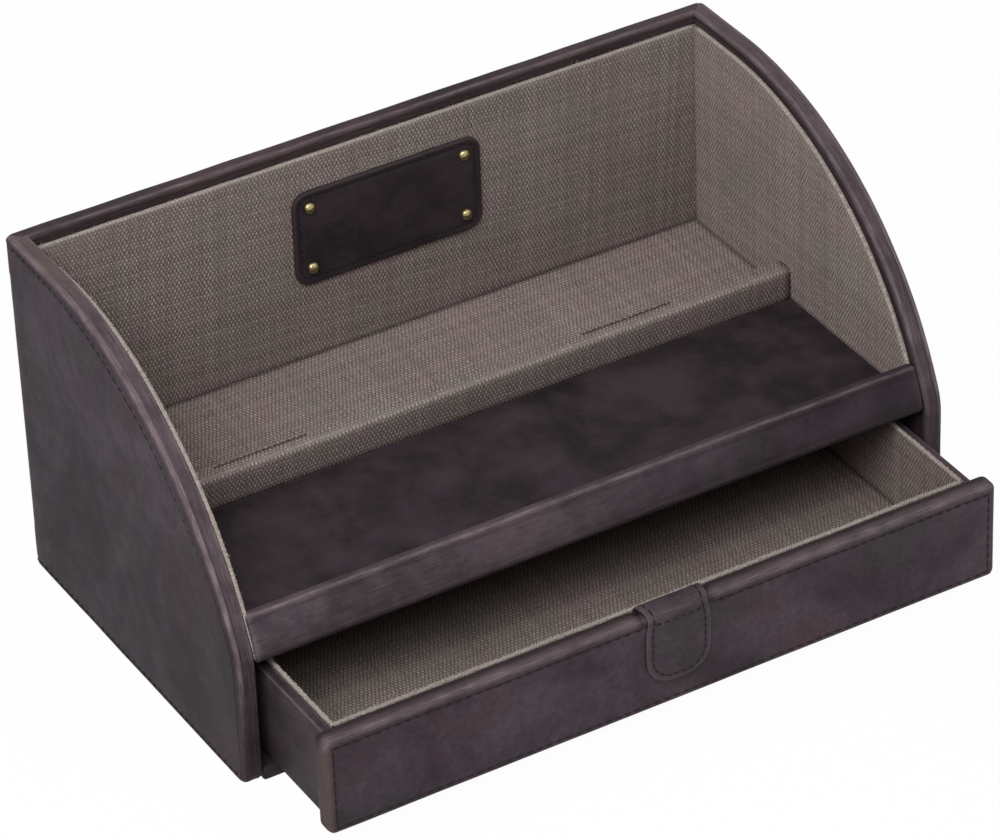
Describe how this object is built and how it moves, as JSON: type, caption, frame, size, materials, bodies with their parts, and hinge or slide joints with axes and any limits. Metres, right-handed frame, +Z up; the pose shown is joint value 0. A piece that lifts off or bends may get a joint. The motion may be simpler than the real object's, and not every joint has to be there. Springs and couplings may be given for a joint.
{
  "type": "valet box with drawer",
  "caption": "Open desk valet box with curved leather side panels, canvas-lined tray and rear trough, and a leather-fronted slide-out drawer with a pull tab.",
  "frame": {"origin": "centre of the carcass underside, on the surface the box stands on", "axes": "+X along the length to the right seen from the front, +Y towards the back, +Z up; the drawer opens along -Y"},
  "size_m": [0.27, 0.1924, 0.132],
  "materials": {
    "leather": "waxed brown-purple pull-up leather, worn lighter along the edges",
    "smooth_leather": "smooth near-black leather with a soft sheen",
    "canvas": "coarse plain-weave grey-brown canvas with a light frayed cut edge",
    "antique_brass": "antique brass domes",
    "board": "plain fibreboard, hidden inside",
    "thread": "dark waxed sewing thread"
  },
  "bodies": {
    "carcass": {"side_board_left": "board", "side_board_right": "board", "back_board": "board", "base_board": "board", "tray_floor_board": "board", "rail_board": "board", "divider_board": "board", "side_leather_left": "leather", "side_leather_right": "leather", "side_binding_left": "leather", "side_binding_right": "leather", "side_inner_leather_left": "leather", "side_inner_leather_right": "leather", "back_leather": "leather", "back_binding": "leather", "back_inner_leather": "leather", "base_leather": "leather", "rail_leather": "leather", "tray_floor_leather": "smooth_leather", "side_lining_left": "canvas", "side_lining_right": "canvas", "back_lining": "canvas", "trough_canvas": "canvas", "divider_canvas": "canvas", "label_patch": "smooth_leather", "label_rivets": "antique_brass"},
    "drawer": {"drawer_front_board": "board", "drawer_box_front": "board", "drawer_back_board": "board", "drawer_side_board_left": "board", "drawer_side_board_right": "board", "drawer_bottom_board": "board", "drawer_front_leather": "leather", "drawer_back_leather": "leather", "drawer_side_leather_left": "leather", "drawer_side_leather_right": "leather", "drawer_bottom_leather": "leather", "pull_tab": "leather", "drawer_back_lining": "canvas", "drawer_front_lining": "canvas", "drawer_side_lining_left": "canvas", "drawer_side_lining_right": "canvas", "drawer_floor_lining": "canvas"}
  },
  "joints": [
    {"name": "drawer_slide", "type": "slide", "parent": "carcass", "child": "drawer", "axis": [0, -1, 0], "range_m": [-0.042, 0.07]}
  ]
}
